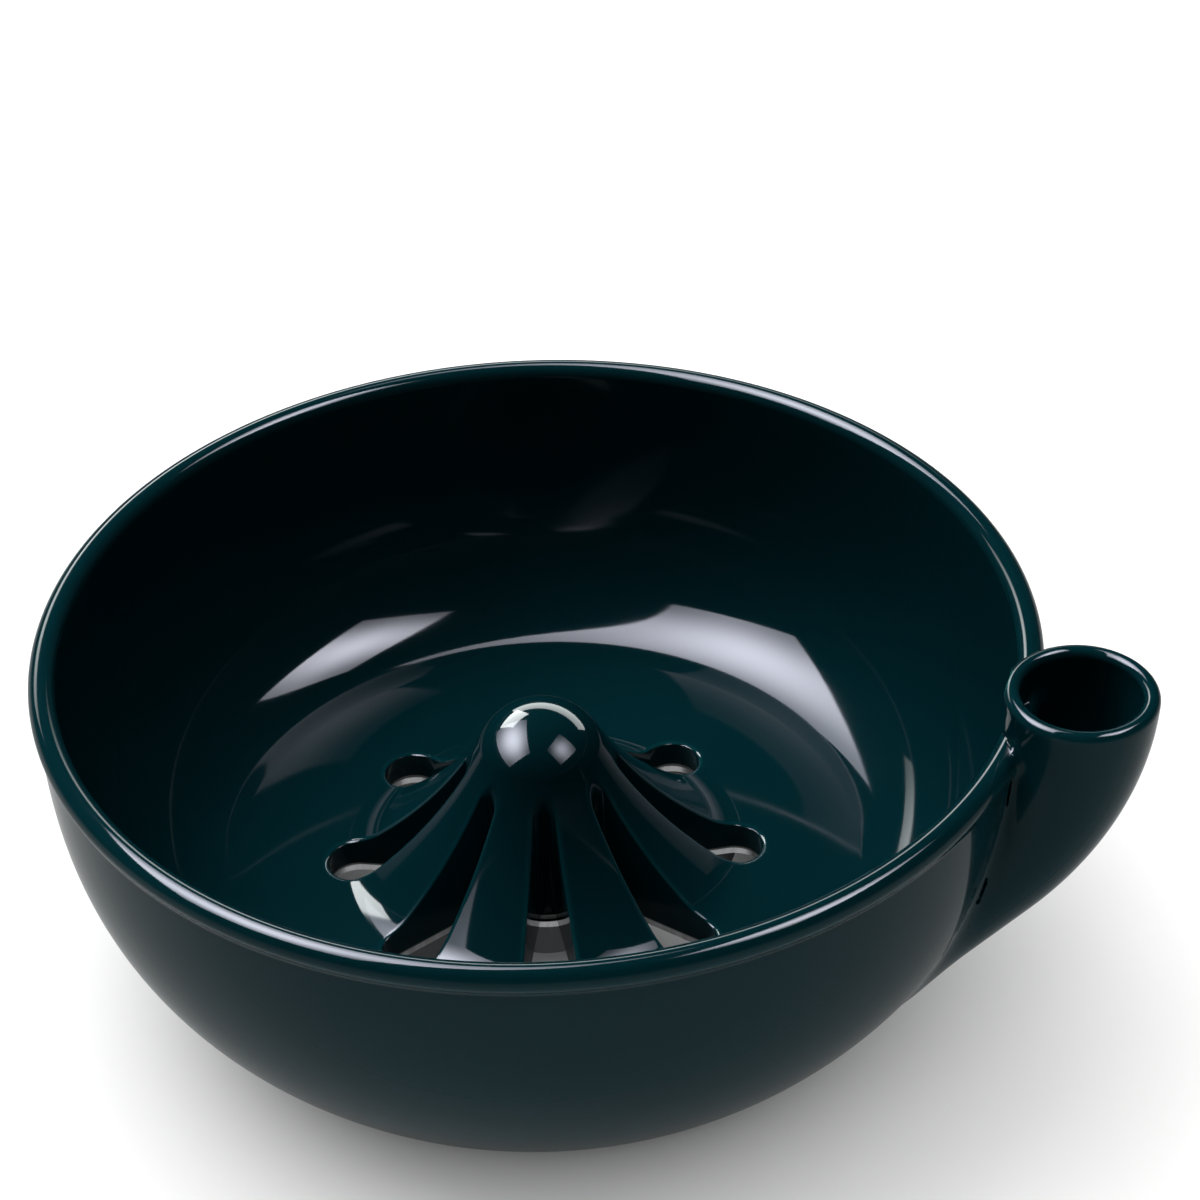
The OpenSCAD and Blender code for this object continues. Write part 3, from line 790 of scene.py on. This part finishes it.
# %% Bare clay on the standing ring
GLAZE_STOPS = (0.4 * MM, 0.7 * MM)
place = node(tree, "ShaderNodeTexCoord")
height = node(tree, "ShaderNodeSeparateXYZ")
tree.links.new(place.outputs["Object"], height.inputs[0])
bare = span(tree, height.outputs["Z"], *GLAZE_STOPS, 1, 0)
clay_grain = noise(tree, 700.0, 5.0)
clay = ramp(tree, clay_grain.outputs["Fac"],
            [(GRAIN_LOW, (0.30, 0.22, 0.15)), (GRAIN_HIGH, (0.42, 0.33, 0.24))])
coat = node(tree, "ShaderNodeMix", data_type="RGBA")
sockets = {socket.name: socket for socket in coat.inputs if socket.type == "RGBA"}
tree.links.new(bare, coat.inputs["Factor"])
tree.links.new(colour.outputs["Color"], sockets["A"])
tree.links.new(clay.outputs["Color"], sockets["B"])
coated = next(socket for socket in coat.outputs if socket.type == "RGBA")
tree.links.new(coated, shader.inputs["Base Color"])
print("bare clay below", round(GLAZE_STOPS[1] / MM, 1), "mm")

# %% Gloss, and a slight ripple
CLAY_DULL = 0.85
gloss = noise(tree, 60.0, 2.0)
dull = node(tree, "ShaderNodeMath", operation="MAXIMUM")
sheen = span(tree, gloss.outputs["Fac"], GRAIN_LOW, GRAIN_HIGH, 0.045, 0.075)
tree.links.new(sheen, dull.inputs[0])
tree.links.new(span(tree, bare, 0, 1, 0, CLAY_DULL), dull.inputs[1])
tree.links.new(dull.outputs[0], shader.inputs["Roughness"])
ripple = noise(tree, 42.0, 2.0)
bump = node(tree, "ShaderNodeBump", Strength=0.02, Distance=1 * MM)
tree.links.new(ripple.outputs["Fac"], bump.inputs["Height"])
tree.links.new(bump.outputs["Normal"], shader.inputs["Normal"])
shader.inputs["IOR"].default_value = 1.5
shader.inputs["Specular IOR Level"].default_value = 0.115
for obj in (bowl, cone, foot):
    obj.data.materials.clear()
    obj.data.materials.append(glaze)
print("glaze over", [obj.name for obj in (bowl, cone, foot)])

# %% [markdown]
# ## What moves with what
# The three glazed pieces are one fixed vessel. Each stands in for the clay bodies that it covers,
# so these are hidden behind it.

# %% Who rides on what
stands_for = ((bowl, ("bowl_shell", "fill_tube")), (cone, ("drain_cone",)), (foot, ("foot_ring",)))
for obj, replaced in stands_for:
    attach(obj, "bowl")
    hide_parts(*replaced)
    print(obj.name, "stands for", replaced)

# %% [markdown]
# ## The shutter's finishes
# The parts under the floor keep the CAD's own meshes, because turned, stamped and moulded parts
# are as crisp as CAD draws them. They only need a finish: brushed steel for the disc and the
# studs, its colour painted darker than bare steel as painted shade under the bowl's floor, drawn
# brass for the inserts, dark rubber for the seal, pale plastic for the bushing and a finely
# grained dark plastic for the grip. Each is a noise that drives colour and roughness.

# %% Helper: a grained finish


def grained(name, scale, detail, darker, paler, dullness, stretch=None):
    """A finish whose grain drives colour and roughness, each between two levels."""
    finish, tree, shader = new_material(name)
    grain = noise(tree, scale, detail, stretch=stretch).outputs["Fac"]
    paint = ramp(tree, grain, [(GRAIN_LOW, darker), (GRAIN_HIGH, paler)])
    tree.links.new(paint.outputs["Color"], shader.inputs["Base Color"])
    dull = span(tree, grain, GRAIN_LOW, GRAIN_HIGH, *dullness)
    tree.links.new(dull, shader.inputs["Roughness"])
    return finish, tree, shader, grain


# %% Metals
# The steel's colour is painted darker than bare steel: painted shade for the disc and studs under
# the bowl's floor.
steel_painted_shade, tree, shader, grain = grained("turned_steel_painted_shade", 900.0, 2.0, (0.24, 0.245, 0.25),
                                     (0.36, 0.365, 0.37), (0.28, 0.42), stretch=(1, 1, 0.1))
shader.inputs["Metallic"].default_value = 1.0
brass, tree, shader, grain = grained("drawn_brass", 500.0, 2.0, (0.5, 0.33, 0.11),
                                     (0.66, 0.46, 0.18), (0.25, 0.4))
shader.inputs["Metallic"].default_value = 1.0
print("metals:", steel_painted_shade.name, brass.name)

# %% Rubber and plastics
rubber, tree, shader, grain = grained("seal_rubber", 1200.0, 3.0, (0.035, 0.037, 0.038),
                                      (0.06, 0.062, 0.063), (0.55, 0.75))
ivory, tree, shader, grain = grained("bushing_plastic", 800.0, 3.0, (0.66, 0.64, 0.57),
                                     (0.74, 0.72, 0.66), (0.4, 0.55))
dark, tree, shader, grain = grained("grip_plastic", 1500.0, 3.0, (0.014, 0.018, 0.02),
                                    (0.028, 0.033, 0.036), (0.5, 0.7))
bump = node(tree, "ShaderNodeBump", Strength=0.25, Distance=0.2 * MM)
tree.links.new(grain, bump.inputs["Height"])
tree.links.new(bump.outputs["Normal"], shader.inputs["Normal"])
print("rubber and plastics:", rubber.name, ivory.name, dark.name)

# %% Give each part its finish
finishes = {"shutter_seal": rubber, "drain_shutter": steel_painted_shade, "hub_bushing": ivory,
            "turning_grip": dark, "grip_rivets": steel_painted_shade, "pivot_insert": brass,
            "pivot_bolt": steel_painted_shade, "spring_washer": steel_painted_shade, "stop_inserts": brass,
            "stop_studs": steel_painted_shade}
for name, finish in finishes.items():
    obj = nodes[name]
    if not obj.material_slots:
        obj.data.materials.append(finish)
    for slot in obj.material_slots:
        slot.material = finish
print("finished nodes:", len(finishes))

# %% [markdown]
# ## Table
# A plain white table, matt, so that it shows the bowl's shadow and no reflection. Far from the
# bowl it glows white to the camera, because no lamp reaches there. In reflections it is dimmer,
# as the darker room in front of the real bowl is, and from below it is clear, so that the
# underside of the bowl can be looked at.

# %% The table's two looks
TABLE_WHITE, TABLE_DIM, GLOW_DIM = (0.86, 0.86, 0.855), (0.4, 0.4, 0.4), 0.45
GLOW_FROM, GLOW_FULL = 0.45, 0.9
table, tree, matt = new_material("white_table")
matt.inputs["Roughness"].default_value = 0.8
matt.inputs["Specular IOR Level"].default_value = 0.0
rays = node(tree, "ShaderNodeLightPath")
mirrored = rays.outputs["Is Glossy Ray"]
dim = ramp(tree, mirrored, [(0, TABLE_WHITE), (1, TABLE_DIM)])
tree.links.new(dim.outputs["Color"], matt.inputs["Base Color"])
glow = node(tree, "ShaderNodeEmission")
tree.links.new(span(tree, mirrored, 0, 1, 1.0, GLOW_DIM), glow.inputs["Strength"])
print("the table glows beyond", GLOW_FULL, "m")

# %% Where the table glows, and its clear underside
place = node(tree, "ShaderNodeTexCoord")
reach = node(tree, "ShaderNodeVectorMath", operation="LENGTH")
tree.links.new(place.outputs["Object"], reach.inputs[0])
seen = node(tree, "ShaderNodeMath", operation="MAXIMUM")
tree.links.new(rays.outputs["Is Camera Ray"], seen.inputs[0])
tree.links.new(mirrored, seen.inputs[1])
far = node(tree, "ShaderNodeMath", operation="MULTIPLY")
tree.links.new(seen.outputs[0], far.inputs[0])
tree.links.new(span(tree, reach.outputs["Value"], GLOW_FROM, GLOW_FULL, 0, 1), far.inputs[1])


def mixed(tree, share, first, second):
    """Two shaders, mixed by a share of the second."""
    made = node(tree, "ShaderNodeMixShader")
    for socket, source in zip(made.inputs, (share, first.outputs[0], second.outputs[0])):
        tree.links.new(source, socket)
    return made


side = node(tree, "ShaderNodeNewGeometry")
clear = node(tree, "ShaderNodeBsdfTransparent")
above = mixed(tree, far.outputs[0], matt, glow)
both = mixed(tree, side.outputs["Backfacing"], above, clear)
tree.links.new(both.outputs[0], tree.nodes["Material Output"].inputs["Surface"])

# %% Lay the table
TABLE_HALF = 6
bm = bmesh.new()
bmesh.ops.create_grid(bm, x_segments=1, y_segments=1, size=TABLE_HALF)
floor = piece_from(bm, "floor")
floor.data.materials.append(table)
print("table laid,", 2 * TABLE_HALF, "m wide")

# %% [markdown]
# ## Lamps
# Gloss shows its lamps, so a dark glazed bowl is lit by the shapes of its softboxes. Each lamp
# is given by the direction that it is seen in from the bowl and by the angles that it fills, and
# may fade towards its edges, as a softbox does.

# %% Helper: a softbox


def faded(lamp, fade):
    """Makes a lamp fade across and along, each by (place, level) stops."""
    lamp.use_nodes = True
    tree = lamp.node_tree
    emission = next(n for n in tree.nodes if n.type == "EMISSION")
    place = node(tree, "ShaderNodeNewGeometry")
    split = node(tree, "ShaderNodeSeparateXYZ")
    tree.links.new(place.outputs["Parametric"], split.inputs[0])
    both = node(tree, "ShaderNodeMath", operation="MULTIPLY")
    for axis, stops, socket in zip("XY", fade, both.inputs):
        curve = ramp(tree, split.outputs[axis], [(at, (v, v, v)) for at, v in stops])
        curve.color_ramp.interpolation = "EASE"
        tree.links.new(curve.outputs["Color"], socket)
    tree.links.new(both.outputs[0], emission.inputs["Strength"])


def softbox(name, azimuth, elevation, wide, tall, radiance, colour=(1, 1, 1), roll=0.0,
            seen="glossy", fade=None, only=None, distance=1.5, aim=(0, 0, 0.04)):
    """A flat lamp that faces the bowl; its size is given as the angles that it fills."""
    lamp = bpy.data.lights.new(name, "AREA")
    w, h = (2 * distance * math.tan(math.radians(angle) / 2) for angle in (wide, tall))
    lamp.shape, lamp.size, lamp.size_y = "RECTANGLE", w, h
    lamp.energy, lamp.color = radiance * math.pi * w * h, colour
    obj = bpy.data.objects.new(name, lamp)
    a, e = math.radians(azimuth), math.radians(elevation)
    away = Vector((math.cos(a) * math.cos(e), math.sin(a) * math.cos(e), math.sin(e)))
    rolled = Matrix.Rotation(math.radians(roll), 4, "Z")
    turn = away.to_track_quat("Z", "Y").to_matrix().to_4x4() @ rolled
    obj.matrix_world = Matrix.Translation(Vector(aim) + away * distance) @ turn
    obj.visible_camera = False
    obj.visible_diffuse, obj.visible_glossy = seen != "glossy", seen != "diffuse"
    if fade:
        faded(lamp, fade)
    if only:
        obj.light_linking.receiver_collection = only
    bpy.context.scene.collection.objects.link(obj)
    return obj


# %% [markdown]
# Light linking keeps each lamp to the pieces that it is for, as a photographer does with flags.

# %% Which lamp lights what


def only_on(name, *pieces):
    """A set of pieces that a lamp lights, and nothing else."""
    chosen = bpy.data.collections.new(name)
    for piece in pieces:
        chosen.objects.link(piece)
    return chosen


def all_but(name, piece):
    """A set that lets a lamp light everything except one piece."""
    chosen = only_on(name, piece)
    chosen.collection_objects[0].light_linking.link_state = "EXCLUDE"
    return chosen


cone_only, floor_only = only_on("cone_only", cone), only_on("floor_only", floor)
not_cone, not_floor = all_but("not_cone", cone), all_but("not_floor", floor)
hardware_only = only_on("hardware_only", *(nodes[name] for name in finishes))

# %% [markdown]
# Two big boxes stand to the left and right, and a strip stands behind. Small cards close to the
# cone make the windows on its domed tip.

# %% Lamps that show in the gloss
BLUISH, PALE = (0.86, 0.87, 1.0), (0.95, 1.0, 1.0)
DOME_TOP, CLOSE_BY = (0, -0.008, 0.056), 0.07
softbox("left_box", 172, 64, 60, 32, 75, BLUISH, roll=-9, only=not_cone,
        fade=(((0, 0.25), (0.55, 1), (1, 0.35)), ((0, 0.75), (0.5, 1), (1, 0.6))))
softbox("right_box", 14, 62, 34, 22, 66, BLUISH, only=not_cone,
        fade=(((0, 0.2), (0.5, 1), (1, 0.3)), ((0, 0.8), (0.5, 1), (1, 0.7))))
softbox("dome_left", 197, 44, 70, 52, 78, BLUISH, only=cone_only, distance=CLOSE_BY, aim=DOME_TOP,
        fade=(((0, 0.3), (0.5, 1), (1, 0.3)), ((0, 0.25), (0.55, 1), (1, 0.35))))
softbox("dome_right", -9, 45, 40, 36, 34, BLUISH, only=cone_only, distance=CLOSE_BY, aim=DOME_TOP,
        fade=(((0, 0.2), (0.5, 1), (1, 0.3)), ((0, 0.5), (0.5, 1), (1, 0.3))))
softbox("back_left", 146, 34, 27, 24, 42, PALE, only=cone_only)
softbox("back_mid", 94, 27, 76, 18, 16, PALE, only=cone_only)
softbox("back_strip", 125, 26, 60, 12, 18, PALE, only=not_cone,
        fade=(((0, 0.1), (0.5, 1), (1, 0.4)), ((0, 0.6), (0.5, 1), (1, 0.6))))
print("lamps so far:", len(bpy.data.lights))

# %% [markdown]
# The key and the fill light the object at a plain level, and the fill's faded twin is what the
# gloss shows of it. The table has lamps of its own, one of which the bowl does not shade, so that
# the shadow stays pale. A card under the table shows the shutter to whoever looks from below.

# %% Lamps for the level of light
FILL, OVERHEAD = (110, 80, 66, 66, 1.3), (110, 88, 125, 125)
EVEN_MIDDLE = ((0, 0), (0.4, 1), (0.6, 1), (1, 0))
softbox("key", 160, 52, 30, 30, 9.5, seen="diffuse", only=not_floor)
softbox("fill", *FILL, seen="diffuse", only=not_floor)
softbox("fill_sheen", *FILL, only=not_floor, fade=(EVEN_MIDDLE, EVEN_MIDDLE))
unshaded = softbox("table_glow", *OVERHEAD, 1.2, seen="diffuse", only=floor_only, distance=1.2)
unshaded.light_linking.blocker_collection = floor_only
softbox("table_dome", *OVERHEAD, 0.35, seen="diffuse", only=floor_only, distance=1.2)
softbox("table_key", 165, 55, 60, 60, 1.9, seen="diffuse", only=floor_only)
below = softbox("under_card", -70, -70, 60, 60, 1.2, seen="all", only=hardware_only, distance=0.4)
below.light_linking.blocker_collection = hardware_only
print("lamps:", len(bpy.data.lights))

# %% [markdown]
# ## Room and camera
# The room is pale near the horizon and dark above, which leaves the inside of the bowl deep.
# The camera stands where the photograph was taken from: a long lens, 42 degrees above the table.

# %% World
world = bpy.data.worlds.new("studio")
bpy.context.scene.world = world
world.use_nodes = True
tree = world.node_tree
sky = tree.nodes["Background"]
coord = node(tree, "ShaderNodeTexCoord")
split = node(tree, "ShaderNodeSeparateXYZ")
tree.links.new(coord.outputs["Generated"], split.inputs[0])
tree.links.new(span(tree, split.outputs["Z"], 0.2, 0.5, 0.9, 0.0), sky.inputs["Strength"])
print("room:", world.name)

# %% Camera
FOCAL_PX, FRAME_PX, SENSOR = 3209.9, 1200, 36
camera_data = bpy.data.cameras.new("camera")
camera_data.sensor_width = SENSOR
camera_data.lens = SENSOR * FOCAL_PX / FRAME_PX
camera = bpy.data.objects.new("camera", camera_data)
stand = Vector((0.17463, -0.47464, 0.46353))
look = Vector((-0.25743, 0.75891, -0.59815))
up = Vector((-0.16372, 0.57581, 0.80102))
right = look.cross(up).normalized()
up = right.cross(look).normalized()
facing = Matrix((right, up, -look)).transposed().to_4x4()
camera.matrix_world = Matrix.Translation(stand) @ facing
bpy.context.scene.collection.objects.link(camera)
bpy.context.scene.camera = camera
print("lens", round(camera_data.lens, 1), "mm")

# %% Colour management
bpy.context.scene.view_settings.view_transform = "Standard"
